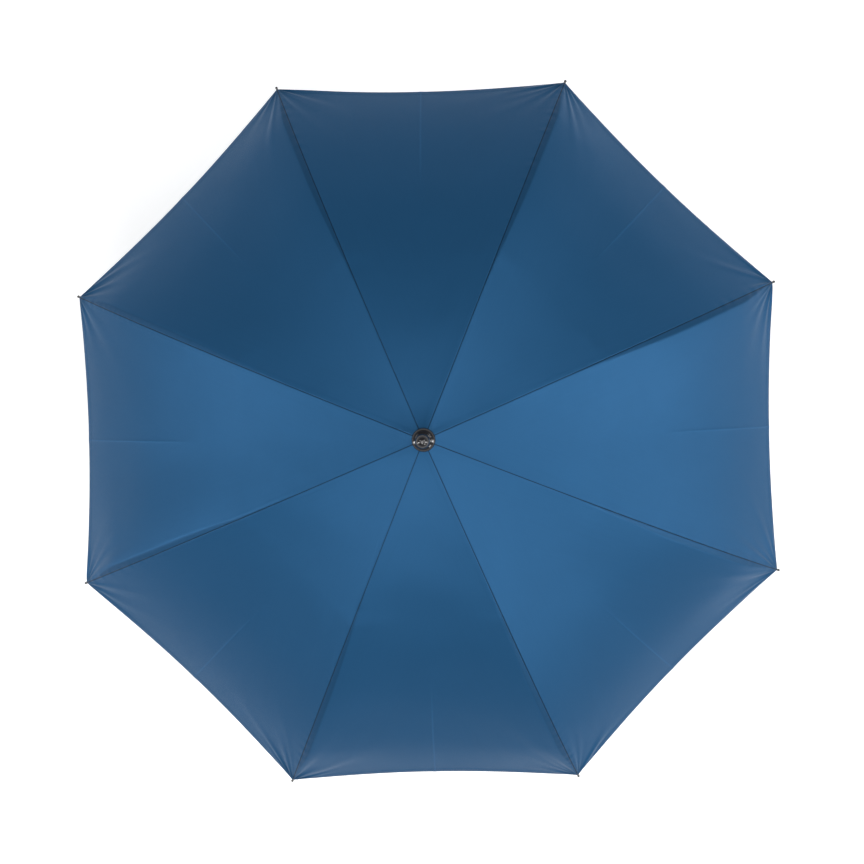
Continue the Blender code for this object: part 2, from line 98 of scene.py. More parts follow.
class Graph:
    """One material's node tree, built with short calls."""

    def __init__(self, name: str) -> None:
        """Starts an empty material.

        Args:
            name: the material's name.
        """
        self.material = bpy.data.materials.new(name)
        self.material.use_nodes = True
        self.tree = self.material.node_tree
        self.shader = self.tree.nodes["Principled BSDF"]

    def add(self, kind: str, inputs: dict[str | int, Input] | None = None,
            **settings: object) -> bpy.types.Node:
        """Adds a node.

        Args:
            kind: the node's type without its ShaderNode prefix.
            inputs: socket values or the sockets to link them to, by socket name or number.
            settings: the node's own properties.

        Returns:
            The new node.
        """
        node = self.tree.nodes.new("ShaderNode" + kind)
        for key, value in settings.items():
            setattr(node, key, value)
        for key, value in (inputs or {}).items():
            if isinstance(value, bpy.types.NodeSocket):
                self.tree.links.new(value, node.inputs[key])
            else:
                node.inputs[key].default_value = value
        return node

    def math(self, operation: str, first: Input, second: Input = 0.0) -> bpy.types.NodeSocket:
        """Returns the result socket of a Math node."""
        return self.add("Math", {0: first, 1: second}, operation=operation).outputs[0]

    def band(self, value: Input, low: float, high: float) -> bpy.types.NodeSocket:
        """Adds a smooth step.

        Args:
            value: what is compared.
            low: the value that gives 0.
            high: the value that gives 1, above or below low.

        Returns:
            The step's socket.
        """
        inputs = {"Value": value, "From Min": low, "From Max": high}
        if low > high:
            inputs = {"Value": value, "From Min": high, "From Max": low, "To Min": 1.0, "To Max": 0.0}
        return self.add("MapRange", inputs, interpolation_type="SMOOTHSTEP").outputs[0]

    def noise(self, vector: Input, scale: float, detail: float = 3.0) -> bpy.types.NodeSocket:
        """Returns the value of a noise texture."""
        inputs = {"Vector": vector, "Scale": scale, "Detail": detail}
        return self.add("TexNoise", inputs).outputs["Fac"]

    def spread(self, value: Input, low: float, high: float) -> bpy.types.NodeSocket:
        """Returns a 0 to 1 value stretched between two numbers."""
        return self.add("MapRange", {"Value": value, "To Min": low, "To Max": high}).outputs[0]

    def tinted(self, color: Input, by: Input) -> bpy.types.NodeSocket:
        """Returns a color made lighter or darker by a factor."""
        return self.add("VectorMath", {0: color, "Scale": by}, operation="SCALE").outputs[0]

    def mixed(self, amount: Input, first: Input, second: Input) -> bpy.types.NodeSocket:
        """Mixes two colors.

        Args:
            amount: the second color's share.
            first: the color at 0.
            second: the color at 1.

        Returns:
            The mixed color's socket.
        """
        return self.add("Mix", {0: amount, 6: first, 7: second}, data_type="RGBA").outputs[2]

    def put(self, socket: str, value: Input) -> None:
        """Links or sets one of the shader's sockets.

        Args:
            socket: the socket's name.
            value: a number or color, or the socket to link.
        """
        if isinstance(value, bpy.types.NodeSocket):
            self.tree.links.new(value, self.shader.inputs[socket])
        else:
            self.shader.inputs[socket].default_value = value

    def bump(self, height: Input, distance: float) -> None:
        """Gives the shader a bump map.

        Args:
            height: the height's socket.
            distance: how far a height of 1 stands out, in metres.
        """
        node = self.add("Bump", {"Height": height, "Distance": distance, "Strength": 1.0})
        self.put("Normal", node.outputs[0])


@dataclass(frozen=True)
class Finish:
    """A surface's plain values."""

    name: str
    color: Color
    roughness: float
    metallic: float = 0.0

    def start(self) -> tuple[Graph, bpy.types.NodeSocket]:
        """Starts the material.

        Returns:
            Its graph and the piece's own coordinates.
        """
        graph = Graph(self.name)
        graph.put("Metallic", self.metallic)
        return graph, graph.add("TexCoord").outputs["Object"]

    def build(self) -> bpy.types.Material:
        """Returns the finished material."""
        raise NotImplementedError


@dataclass(frozen=True)
class MouldedPlastic(Finish):
    """Injection-moulded plastic: a fine skin texture and faint flow marks."""

    grain: float = 0.00002
    coat: float = 0.0

    def build(self) -> bpy.types.Material:
        """Lays the finish's nodes.

        Returns:
            The finished material.
        """
        graph, place = self.start()
        flow = graph.noise(place, 60.0, 4.0)
        skin = graph.noise(place, 2600.0, 2.0)
        tint = graph.spread(flow, 0.85, 1.2)
        graph.put("Base Color", graph.tinted(self.color, tint))
        graph.put("Roughness", graph.spread(flow, self.roughness * 0.82, self.roughness * 1.2))
        graph.put("Coat Weight", self.coat)
        graph.put("Coat Roughness", 0.06)
        graph.bump(skin, self.grain)
        return graph.material


@dataclass(frozen=True)
class LacqueredSteel(Finish):
    """Drawn steel under thin black lacquer, with draw lines and small rubbed spots."""

    def build(self) -> bpy.types.Material:
        """Lays the finish's nodes.

        Returns:
            The finished material.
        """
        graph, place = self.start()
        lines = graph.noise(place, 900.0, 5.0)
        rubbed = graph.band(graph.noise(place, 220.0, 6.0), 0.66, 0.78)
        graph.put("Base Color", graph.mixed(rubbed, (*self.color, 1), (0.2, 0.2, 0.21, 1)))
        graph.put("Roughness", graph.spread(lines, self.roughness * 0.75, self.roughness * 1.3))
        graph.bump(lines, 0.00001)
        return graph.material


@dataclass(frozen=True)
class BrightMetal(Finish):
    """Bare polished or drawn metal with fine scratches round it."""

    def build(self) -> bpy.types.Material:
        """Lays the finish's nodes.

        Returns:
            The finished material.
        """
        graph, place = self.start()
        stretched = graph.add("Mapping", {"Vector": place, "Scale": (1.0, 1.0, 9.0)}).outputs[0]
        scratches = graph.noise(stretched, 700.0, 5.0)
        cloud = graph.noise(place, 90.0, 2.0)
        graph.put("Base Color", graph.tinted(self.color, graph.spread(cloud, 0.9, 1.08)))
        graph.put("Roughness", graph.spread(scratches, self.roughness * 0.6, self.roughness * 1.5))
        graph.bump(scratches, 0.000008)
        return graph.material


@dataclass(frozen=True)
class CanopyCloth(Finish):
    """Plain-weave polyester, read from the piece's cloth map: u across from the seam, v along the rib.

    The seams, the fold down each panel's middle and the turned hem come from distances that
    each piece carries as attributes, in metres. The band where the cloth lies over the pressed
    seam allowance gets painted shade, from a mask from 0 to 1.
    """

    yarn: float = 0.45 * MM
    hem_width: float = 7 * MM
    stitch: float = 2.8 * MM

    def build(self) -> bpy.types.Material:
        """Lays the cloth's nodes.

        Returns:
            The finished material.
        """
        graph = Graph(self.name)
        cloth = graph.add("UVMap", uv_map="cloth").outputs[0]
        split = graph.add("SeparateXYZ", {0: cloth}).outputs
        facts = {key: graph.add("Attribute", attribute_name=key).outputs["Fac"] for key in CLOTH_FACTS}
        facts |= {"across": split[0], "along": split[1]}
        graph.put("Base Color", self.shade(graph, cloth, facts))
        gloss = graph.noise(cloth, 35.0, 4.0)
        graph.put("Roughness", graph.spread(gloss, self.roughness - 0.05, self.roughness + 0.06))
        graph.put("Metallic", self.metallic)
        graph.put("Sheen Weight", 0.03)
        graph.put("Sheen Roughness", 0.4)
        graph.put("Specular IOR Level", 0.18)
        graph.bump(self.relief(graph, facts), MM)
        return graph.material

    def shade(self, graph: Graph, cloth: Input, facts: Facts) -> bpy.types.NodeSocket:
        """Adds the cloth's color, with its darker and paler lines and painted shade over the pressed seam
        allowance.

        Args:
            graph: the material's nodes.
            cloth: the cloth's own coordinates.
            facts: the sockets of the distances on the cloth.

        Returns:
            The color's socket.
        """
        streaks = graph.add("Mapping", {"Vector": cloth, "Scale": (420.0, 9.0, 1.0)}).outputs[0]
        slub = graph.spread(graph.noise(streaks, 1.0, 2.0), 0.965, 1.035)
        cloud = graph.spread(graph.noise(cloth, 7.0, 3.0), 0.95, 1.05)
        factor = graph.math("MULTIPLY", slub, cloud)
        line = graph.band(facts["seam"], 0.8 * MM, 0.3 * MM)
        edge = graph.band(facts["hem"], 1.2 * MM, 0.4 * MM)
        near_hem = graph.band(facts["along"], 0.36, 0.46)
        folded = graph.math("MULTIPLY", graph.band(facts["crease"], 1.6 * MM, 0.4 * MM), near_hem)
        inside = graph.band(facts["tip"], 28 * MM, 4 * MM)
        shares = (
            (line, -0.8),
            (edge, -0.45),
            (self.stitches(graph, facts), -0.2),
            (folded, 0.16),
            (inside, -0.15),
            # painted shade: darkens the cloth over the pressed seam allowance
            (facts["painted_strip_shade"], -0.2),
        )
        for mask, share in shares:
            change = graph.math("MULTIPLY_ADD", mask, share)
            change.node.inputs[2].default_value = 1.0
            factor = graph.math("MULTIPLY", factor, change)
        return graph.tinted(self.color, factor)

    def stitches(self, graph: Graph, facts: Facts) -> bpy.types.NodeSocket:
        """Adds the mask of the row of stitches inside the hem.

        Args:
            graph: the material's nodes.
            facts: the sockets of the distances on the cloth.

        Returns:
            The mask's socket, 1 on a stitch.
        """
        off = graph.math("ABSOLUTE", graph.math("SUBTRACT", facts["hem"], self.hem_width - MM))
        beat = graph.math("FRACT", graph.math("MULTIPLY", facts["across"], 1 / self.stitch))
        row = graph.band(off, 0.5 * MM, 0.2 * MM)
        return graph.math("MULTIPLY", row, graph.math("LESS_THAN", beat, 0.68))

    def relief(self, graph: Graph, facts: Facts) -> bpy.types.NodeSocket:
        """Adds the relief of the weave, seam, hem and pressed crease.

        Args:
            graph: the material's nodes.
            facts: the sockets of the distances on the cloth.

        Returns:
            The height's socket, in millimetres.
        """
        warp = graph.math("SINE", graph.math("MULTIPLY", facts["across"], tau / self.yarn))
        weft = graph.math("SINE", graph.math("MULTIPLY", facts["along"], tau / self.yarn))
        height = graph.math("MULTIPLY", graph.math("MULTIPLY", warp, weft), 0.018)
        near_hem = graph.band(facts["along"], 0.34, 0.46)
        parts = (
            (graph.band(facts["seam"], 1.4 * MM, 0.2 * MM), -0.3),
            (graph.band(facts["seam"], 8.5 * MM, 6 * MM), 0.08),
            (graph.band(facts["hem"], self.hem_width + 0.8 * MM, self.hem_width - 0.4 * MM), 0.16),
            (self.stitches(graph, facts), -0.12),
            (graph.math("MULTIPLY", graph.band(facts["crease"], 2.2 * MM, 0.2 * MM), near_hem), 0.2),
        )
        for mask, amount in parts:
            height = graph.math("ADD", height, graph.math("MULTIPLY", mask, amount))
        return height


# Shapes


def new_piece(name: str, bm: bmesh.types.BMesh, surface: bpy.types.Material,
              smooth: float = 40.0) -> bpy.types.Object:
    """Turns a bmesh into a piece of the object, with its place in its mesh.

    Args:
        name: the piece's name.
        bm: the shape, which is used up.
        surface: its material.
        smooth: edges sharper than this many degrees stay sharp.

    Returns:
        The new object.
    """
    bmesh.ops.remove_doubles(bm, verts=bm.verts, dist=1e-7)
    bmesh.ops.dissolve_degenerate(bm, edges=bm.edges, dist=1e-7)
    bmesh.ops.recalc_face_normals(bm, faces=bm.faces)
    mesh = bpy.data.meshes.new(name)
    bm.to_mesh(mesh)
    bm.free()
    mesh.materials.append(surface)
    mesh.shade_smooth()
    mesh.set_sharp_from_angle(angle=radians(smooth))
    piece = bpy.data.objects.new(name, mesh)
    bpy.context.scene.collection.objects.link(piece)
    return piece


def rounded_edges(piece: bpy.types.Object, width: float, segments: int = 2,
                  angle: float = 35.0) -> bpy.types.Object:
    """Rounds a piece's sharp edges with a Bevel modifier.

    Args:
        piece: the piece.
        width: the bevel's width.
        segments: faces across it.
        angle: edges sharper than this many degrees are rounded.

    Returns:
        The same piece.
    """
    bevel = piece.modifiers.new("edges", "BEVEL")
    bevel.width, bevel.segments = width, segments
    bevel.limit_method, bevel.angle_limit = "ANGLE", radians(angle)
    return piece


def attach(piece: bpy.types.Object, body: str, slot: str, *nodes: str) -> None:
    """Rides a piece on its body, hides the CAD nodes it stands for and logs it with its slot.

    Args:
        piece: the piece.
        body: the moving body that carries it.
        slot: the record's material slot.
        nodes: the CAD nodes that it stands for.
    """
    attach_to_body(piece, body)
    if nodes:
        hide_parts(*nodes)
    log.info("%s: %s, on %s", piece.name, slot, body)


def lathe(profile: Profile, steps: int = 64) -> bmesh.types.BMesh:
    """Turns an outline round Z.

    Args:
        profile: (radius, z) points. One that starts and ends off the axis is closed to a ring.
        steps: faces round the turn.

    Returns:
        The turned shape.
    """
    bm = bmesh.new()
    points = [bm.verts.new((radius, 0, z)) for radius, z in profile]
    edges = [bm.edges.new(pair) for pair in zip(points, points[1:])]
    if profile[0][0] > 0 and profile[-1][0] > 0:
        edges.append(bm.edges.new((points[-1], points[0])))
    bmesh.ops.spin(
        bm, geom=points + edges, cent=(0, 0, 0), axis=(0, 0, 1), angle=tau, steps=steps, use_merge=True
    )
    bmesh.ops.remove_doubles(bm, verts=bm.verts, dist=1e-7)
    return bm


def swept(stations: Sequence[tuple[float, float, float]], sides: int = 14) -> bmesh.types.BMesh:
    """Sweeps a circle through stations in the XZ plane.

    Args:
        stations: (x, z, radius) along the rod.
        sides: faces round it.

    Returns:
        The closed rod.
    """
    bm = bmesh.new()
    rings: list[list[bmesh.types.BMEdge]] = []
    for i, (x, z, radius) in enumerate(stations):
        before, after = stations[max(i - 1, 0)], stations[min(i + 1, len(stations) - 1)]
        along = Vector((after[0] - before[0], 0, after[1] - before[1]))
        turn = along.to_track_quat("Z", "Y").to_matrix().to_4x4()
        known = set(bm.edges)
        place = Matrix.Translation((x, 0, z)) @ turn
        bmesh.ops.create_circle(bm, segments=sides, radius=radius, matrix=place)
        rings.append([edge for edge in bm.edges if edge not in known])
    for first, second in zip(rings, rings[1:]):
        bmesh.ops.bridge_loops(bm, edges=first + second)
    for ends in (rings[0], rings[-1]):
        bmesh.ops.contextual_create(bm, geom=ends)
    return bm


def plate(outline: Profile, low: float, high: float) -> bmesh.types.BMesh:
    """Gives an outline a thickness along Y.

    Args:
        outline: (x, z) points.
        low: the lower Y.
        high: the upper Y.

    Returns:
        The closed plate.
    """
    bm = bmesh.new()
    face = bm.faces.new([bm.verts.new((x, low, z)) for x, z in outline])
    grown = bmesh.ops.extrude_face_region(bm, geom=[face])["geom"]
    far = [v for v in grown if isinstance(v, bmesh.types.BMVert)]
    bmesh.ops.translate(bm, vec=(0, high - low, 0), verts=far)
    bmesh.ops.recalc_face_normals(bm, faces=bm.faces)
    return bm


def eye_plate(eye: Vector, along: float, length: float, thickness: float, radius: float,
              hole: float) -> bmesh.types.BMesh:
    """A flat tab with a drilled round end, in the XZ plane.

    Args:
        eye: the hole's middle as (x, z).
        along: the direction the tab runs from its eye, in radians above +X.
        length: how far it runs.
        thickness: its thickness along Y.
        radius: of its round end.
        hole: the hole's radius.

    Returns:
        The tab as two mirrored halves round its hole.
    """
    out = Vector((cos(along), sin(along)))
    side = Vector((-out.y, out.x))
    bm = bmesh.new()
    steps, neck = 10, 4
    for sign in (1, -1):
        arc = [radians(180 * i / steps) * sign for i in range(steps + 1)]
        inner = [eye + hole * (cos(a) * out + sin(a) * side) for a in arc]
        outer = [eye + radius * (cos(a) * out + sin(a) * side) for a in arc[neck:]]
        end = eye + length * out
        outline = inner + outer[::-1] + [end + sign * 0.8 * radius * side, end]
        half = plate([(p.x, p.y) for p in outline], -thickness / 2, thickness / 2)
        mesh = bpy.data.meshes.new("half")
        half.to_mesh(mesh)
        half.free()
        bm.from_mesh(mesh)
        bpy.data.meshes.remove(mesh)
    bmesh.ops.remove_doubles(bm, verts=bm.verts, dist=1e-7)
    between = []
    for face in bm.faces:
        off = abs(face.calc_center_median().xz.dot(side) - eye.dot(side))
        if face.normal.length and off < 1e-6 and abs(face.normal.xz.dot(side)) > 0.99:
            between.append(face)
    bmesh.ops.delete(bm, geom=between, context="FACES")
    return bm


def merged(shapes: Iterable[bmesh.types.BMesh]) -> bmesh.types.BMesh:
    """Puts several shapes into one; each stays a closed body.

    Args:
        shapes: the shapes, which are used up.

    Returns:
        All of them.
    """
    bm = bmesh.new()
    for shape in shapes:
        mesh = bpy.data.meshes.new("shape")
        bmesh.ops.recalc_face_normals(shape, faces=shape.faces)
        shape.to_mesh(mesh)
        shape.free()
        bm.from_mesh(mesh)
        bpy.data.meshes.remove(mesh)
    return bm


def moved(bm: bmesh.types.BMesh, offset: Sequence[float], azimuth: float = 0.0) -> bmesh.types.BMesh:
    """Shifts a shape and then turns it about Z.

    Args:
        bm: the shape.
        offset: how far it shifts.
        azimuth: how far it turns, in radians.

    Returns:
        The same shape.
    """
    bmesh.ops.translate(bm, vec=offset, verts=bm.verts)
    bmesh.ops.rotate(bm, matrix=Matrix.Rotation(azimuth, 3, "Z"), verts=bm.verts)
    return bm


# The ribs' line


@dataclass(frozen=True)
class RibLine:
    """The curve of an open rib, by its length from the crown's wire."""

    pivot_radius: float
    crown_z: float
    joint_at: float = 0.27
    length: float = 0.585
    start_slope: float = radians(7)
    gain: float = radians(43)
    power: float = 1.5

    def slope(self, s: np.ndarray) -> np.ndarray:
        """Returns the slope below the horizontal."""
        return self.start_slope + self.gain * (np.maximum(s, 0) / self.length) ** self.power

    def slope_at(self, s: float) -> float:
        """Returns the slope at one length."""
        return float(self.slope(np.array([s]))[0])

    def points(self, s: np.ndarray, lift: np.ndarray | float = 0.0) -> tuple[np.ndarray, np.ndarray]:
        """Finds points on the rib.

        Args:
            s: lengths along it.
            lift: how far each point lies off the rib, square to it.

        Returns:
            Their radii and heights.
        """
        fine = np.linspace(0, self.length + 0.03, 1200)
        middle = self.slope((fine[1:] + fine[:-1]) / 2)
        step = fine[1] - fine[0]
        radius = np.concatenate([[0], np.cumsum(np.cos(middle) * step)]) + self.pivot_radius
        z = self.crown_z - np.concatenate([[0], np.cumsum(np.sin(middle) * step)])
        slope = self.slope(s)
        return (
            np.interp(s, fine, radius) + lift * np.sin(slope),
            np.interp(s, fine, z) + lift * np.cos(slope),
        )

    def at(self, s: float, lift: float = 0.0) -> tuple[float, float]:
        """Returns (radius, z) at one length."""
        radius, z = self.points(np.array([s]), lift)
        return float(radius[0]), float(z[0])

    def stations(self, start: float, end: float, count: int, first: float,
                 last: float) -> list[tuple[float, float, float]]:
        """Returns the stations of a rod along the rib.

        Args:
            start: the rib length where it starts.
            end: the rib length where it ends.
            count: how many stations.
            first: the rod's radius at its start.
            last: the rod's radius at its end.

        Returns:
            (x, z, radius) at each station.
        """
        across, up = self.points(np.linspace(start, end, count))
        thick = np.linspace(first, last, count)
        return [(float(x), float(z), float(r)) for x, z, r in zip(across, up, thick)]


def rib_azimuth(number: int) -> float:
    """Returns the azimuth of rib 1 to 8."""
    return HALF_PANEL + (number - 1) * 2 * HALF_PANEL


# The canopy


class Stretch(Enum):
    """The stretches of a half panel, which gather by different amounts."""

    SHOULDER = "shoulder"
    INNER = "inner"
    OUTER = "outer"


@dataclass(frozen=True)
class Cut:
    """Where a stretch of half panels lies on its rib, and how it gathers as the umbrella closes."""

    start: float
    end: float
    keep: float
    body: str
    node: str
    along: int
    across: int
    hemmed: bool = False


@dataclass
class Canopy:
    """The sewn cloth: for each rib a piece over the crown, and shoulder, inner and outer half panels.

    Every piece is cut from one surface, so that they meet without a step. The half panels of a
    panel meet on its pressed middle fold.
    """

    line: RibLine
    fold_joint: str = "umbrella_fold"
    thickness: float = 0.25 * MM
    over_rod: float = 1.95 * MM
    over_bracket: float = 0.8 * MM
    bracket_length: float = 12 * MM
    over_crown: float = 3.8 * MM
    crown_end: float = 58 * MM
    crown_seam: float = 13 * MM
    disc_start: float = 6 * MM
    disc_end: float = 45 * MM
    hem_at: float = 0.5808
    hem_hollow: float = 4 * MM
    sag: float = 0.014
    ridge_round: float = 1.8 * MM
    pucker: float = 1.5 * MM
    pucker_reach: float = 26 * MM
    seam_ripple: float = 0.15 * MM
    fold_width: float = 9.5 * MM
    fold_from: float = 0.16
    fold_rise: float = 0.24
    fold_fall: float = 0.08
    slack: float = 0.14 * MM
    shoulder_end: float = 90 * MM
    keep_shoulder: float = 0.45
    keep_inner: float = 0.26
    keep_outer: float = 0.15
    tuck_under: float = radians(3)
    lap_over: float = radians(-1)
    pieces: list[bpy.types.Object] = field(default_factory=list)

    def build(self, surface: bpy.types.Material) -> None:
        """Makes every piece of cloth.

        Args:
            surface: the cloth's material.
        """
        for number in range(1, RIBS + 1):
            self.crown_piece(number, surface)
            for side in (1, -1):
                for stretch in Stretch:
                    self.half_panel(number, side, stretch, surface)
        log.info("canopy: %d pieces", len(self.pieces))

    def hem_length(self, w: np.ndarray) -> np.ndarray:
        """Returns the rib length of the hem, w = 0 at the rib and 1 mid-panel."""
        return self.hem_at - self.hem_hollow * (1 - (1 - w) ** 2)

    def fold_side(self, number: int) -> int:
        """Returns the side of the seam to which its allowance is pressed: 1 is counter-clockwise."""
        return 1 if number in (3, 6) else -1

    def fold_offset(self, s: np.ndarray) -> np.ndarray:
        """Finds how far from the seam the cloth bends over the pressed allowance.

        Args:
            s: lengths along the rib.

        Returns:
            The distance at each length.
        """
        rise = np.clip((s - self.fold_from) / self.fold_rise, 0, 1)
        fall = np.clip((self.hem_at - s) / self.fold_fall, 0, 1)
        return self.fold_width * rise * rise * (3 - 2 * rise) * fall * fall * (3 - 2 * fall)

    def lay(self, number: int, side: int, s: np.ndarray, w: np.ndarray,
            under: np.ndarray) -> tuple[np.ndarray, dict[str, np.ndarray]]:
        """Lays points on the cloth's surface over one half panel.

        Args:
            number: the rib's number.
            side: 1 for the half panel after the rib, counter-clockwise from above, and -1 before it.
            s: lengths along the rib.
            w: 0 at the rib and 1 at the panel's middle.
            under: how far each point lies under the cloth's upper face.

        Returns:
            Their places, and each point's distances for the cloth's material.
        """
        past = s - self.line.joint_at + 4 * MM
        bracket = self.over_bracket * np.exp(-((past / self.bracket_length) ** 2))
        base_r, _ = self.line.points(s)
        near = np.clip(1 - (base_r - self.crown_seam) / (self.crown_end - self.crown_seam), 0, 1)
        radius, z = self.line.points(s, self.over_rod + bracket * (1 - w) ** 2 + self.over_crown * near**2)
        reach = w * radius * sin(HALF_PANEL)
        hem = self.hem_length(w) - s
        crease = (1 - w) * radius * sin(HALF_PANEL)
        out = self.displacement(number, side, s, w, radius, reach, hem, crease) - under
        turn = HALF_PANEL * w
        slope = self.line.slope(s)
        x = radius - reach * sin(HALF_PANEL) + out * np.sin(slope) * np.cos(turn)
        y = side * (reach * cos(HALF_PANEL) + out * np.sin(slope) * np.sin(turn))
        z = z + out * np.cos(slope)
        azimuth = rib_azimuth(number)
        c, n = cos(azimuth), sin(azimuth)
        points = np.stack([x * c - y * n, x * n + y * c, z], axis=1)
        facts = {
            "hem": hem,
            "crease": crease,
            "tip": np.hypot(reach, self.hem_at - s),
            "seam": reach,
            # mask of the painted shade over the pressed seam allowance, on the side of the seam it is pressed to
            "painted_strip_shade": np.clip((side * self.fold_side(number) * self.fold_offset(s) - reach) / MM, 0, 1),
            "across": side * reach,
            "along": s,
        }
        return points, facts

    def displacement(self, number: int, side: int, s: np.ndarray, w: np.ndarray, radius: np.ndarray,
                     reach: np.ndarray, hem: np.ndarray, crease: np.ndarray) -> np.ndarray:
        """Finds how far the cloth stands off the straight surface between two ribs.

        Args:
            number: the rib's number.
            side: 1 or -1, the half panel's side of the rib.
            s: lengths along the rib.
            w: 0 at the rib and 1 at the panel's middle.
            radius: the rib's distance from the shaft.
            reach: distances from the seam.
            hem: distances from the hem.
            crease: distances from the panel's middle.

        Returns:
            The heights, square to the rib.
        """
        panel = number if side > 0 else (number - 2) % RIBS + 1
        shape = np.random.default_rng(100 + panel)
        q = -side * (1 - w)
        taut = 1 - q * q
        ends = np.clip((s - 0.03) / 0.1, 0, 1)
        out = -self.sag * radius * (1 - (1 - w) ** 2)
        fall = np.tan(HALF_PANEL) * np.sin(self.line.slope(s))
        bend = self.fold_side(number) * self.fold_offset(s)
        rounded = reach - np.hypot(side * reach - bend, self.ridge_round) + np.hypot(bend, self.ridge_round)
        fade = np.clip((reach - 20 * MM) / (0.75 * radius * sin(HALF_PANEL)), 0, 1)
        out = out + fall * rounded * (1 - fade * fade * (3 - 2 * fade))
        for _ in range(5):
            waves, lean, phase = shape.uniform(2, 6), shape.uniform(-2, 2), shape.uniform(0, tau)
            out = out + self.slack * taut * ends * np.sin(waves * tau * s / 0.6 + lean * q + phase)
        out = out + self.tip_folds(number, side, s, reach)
        seam = np.random.default_rng(500 + number)
        for _ in range(3):
            pitch, phase = seam.uniform(11 * MM, 24 * MM), seam.uniform(0, tau)
            near = np.exp(-reach / (5 * MM)) * np.clip(reach / (1 * MM), 0, 1) * np.clip(s / 0.3, 0, 1) * ends
            out = out + self.seam_ripple * near * np.sin(tau * s / pitch + phase)
        out = out + 0.4 * MM * np.exp(-crease / (4 * MM)) * np.clip((s - 0.34) / 0.1, 0, 1)
        return out + 0.15 * MM * np.clip((8 * MM - hem) / (2 * MM), 0, 1)

    def tip_folds(self, number: int, side: int, s: np.ndarray, reach: np.ndarray) -> np.ndarray:
        """Finds the folds that fan out from the tip, where the cloth is tied to the rib.

        Args:
            number: the rib's number.
            side: 1 or -1, the half panel's side of the rib.
            s: lengths along the rib.
            reach: distances from the seam.

        Returns:
            The folds' heights.
        """
        rng = np.random.default_rng(10 * number + (side > 0))
        back = self.hem_at - s + reach * sin(HALF_PANEL)
        sideways = reach * cos(HALF_PANEL)
        rho = np.hypot(back, sideways) + 1e-9
        psi = np.arctan2(sideways, np.maximum(back, 1e-9)) / (pi / 2 - HALF_PANEL)
        out = np.zeros(len(s))
        for place in np.linspace(0.2, 0.86, 4):
            middle = place + rng.uniform(-0.07, 0.07)
            spread = rng.uniform(0.05, 0.09)
            height = self.pucker * rng.uniform(0.35, 1.0)
            peak = self.pucker_reach * rng.uniform(0.6, 1.35)
            profile = (rho / peak) * np.exp(1 - rho / peak)
            bend = 0.1 * rng.uniform(-1, 1) * rho / 0.06
            away = (psi - middle - bend) / spread
            out = out + height * profile * (np.exp(-(away**2)) - 0.5 * np.exp(-((away - 1.5) ** 2)))
        return out

    def cloth(self, name: str, number: int, side: int, start: float, end: float | None,
              along: int, across: int, surface: bpy.types.Material) -> bpy.types.Object:
        """Makes one piece of cloth as a grid laid on the surface.

        Args:
            name: the piece's name.
            number: the rib's number.
            side: 1 or -1, or 0 for both sides of the rib.
            start: the rib length where it starts.
            end: the rib length where it ends, or None at the hem.
            along: cells along the rib.
            across: cells across.
            surface: the cloth's material.

        Returns:
            The new piece.
        """
        mesh = bpy.data.meshes.new(name)
        bm = self.slab(along, across)
        bm.to_mesh(mesh)
        bm.free()
        flat = np.empty(len(mesh.vertices) * 3, np.float32)
        mesh.vertices.foreach_get("co", flat)
        flat = flat.reshape(-1, 3).astype(float)
        t = (flat[:, 0] + 1) / 2
        if side:
            w = ((flat[:, 1] + 1) / 2) ** 1.5
            sides = [(side, np.ones(len(w), bool))]
        else:
            w = np.abs(flat[:, 1])
            sides = [(1, flat[:, 1] >= 0), (-1, flat[:, 1] < 0)]
        if end is None:
            t = 1 - (1 - t) ** 1.4
        under = np.where(flat[:, 2] > 0.5, 0.0, self.thickness)
        last = self.hem_length(w) if end is None else end
        s = start + (last - start) * t
        points = np.zeros((len(s), 3))
        facts: dict[str, np.ndarray] = {}
        for which, chosen in sides:
            placed, found = self.lay(number, which, s[chosen], w[chosen], under[chosen])
            points[chosen] = placed
            for key, values in found.items():
                facts.setdefault(key, np.zeros(len(s)))[chosen] = values
        mesh.vertices.foreach_set("co", points.astype(np.float32).ravel())
        self.store_facts(mesh, facts)
        mesh.materials.append(surface)
        mesh.shade_smooth()
        if side < 0:
            mesh.flip_normals()
        piece = bpy.data.objects.new(name, mesh)
        bpy.context.scene.collection.objects.link(piece)
        self.pieces.append(piece)
        return piece

    def slab(self, along: int, across: int) -> bmesh.types.BMesh:
        """Makes a flat grid with a lower face, closed round its edge by a sharp rim.

        Args:
            along: cells along X.
            across: cells along Y.

        Returns:
            The slab, from -1 to 1 along X and Y and from 0 to 1 along Z.
        """
        bm = bmesh.new()
        bmesh.ops.create_grid(bm, x_segments=along, y_segments=across, size=1)
        grown = bmesh.ops.extrude_face_region(bm, geom=bm.faces[:], use_keep_orig=True)["geom"]
        upper = [v for v in grown if isinstance(v, bmesh.types.BMVert)]
        bmesh.ops.translate(bm, vec=(0, 0, 1), verts=upper)
        bmesh.ops.recalc_face_normals(bm, faces=bm.faces)
        for edge in bm.edges:
            edge.smooth = not any(abs(face.normal.z) < 0.5 for face in edge.link_faces)
        return bm

    def store_facts(self, mesh: bpy.types.Mesh, facts: dict[str, np.ndarray]) -> None:
        """Keeps the distances as attributes, and the cloth's own coordinates as a UV map.

        Args:
            mesh: the cloth's mesh.
            facts: a value for each point, by name.
        """
        for key in CLOTH_FACTS:
            values = mesh.attributes.new(key, "FLOAT", "POINT").data
            values.foreach_set("value", facts[key].astype(np.float32))
        corners = np.empty(len(mesh.loops), np.int32)
        mesh.loops.foreach_get("vertex_index", corners)
        uv = np.stack([facts["across"], facts["along"]], axis=1)[corners]
        mesh.uv_layers.new(name="cloth").uv.foreach_set("vector", uv.astype(np.float32).ravel())

    def length_at(self, radius: float) -> float:
        """Returns the rib length at which the rib has this radius, near the crown."""
        return (radius - self.line.pivot_radius) / cos(self.line.start_slope)

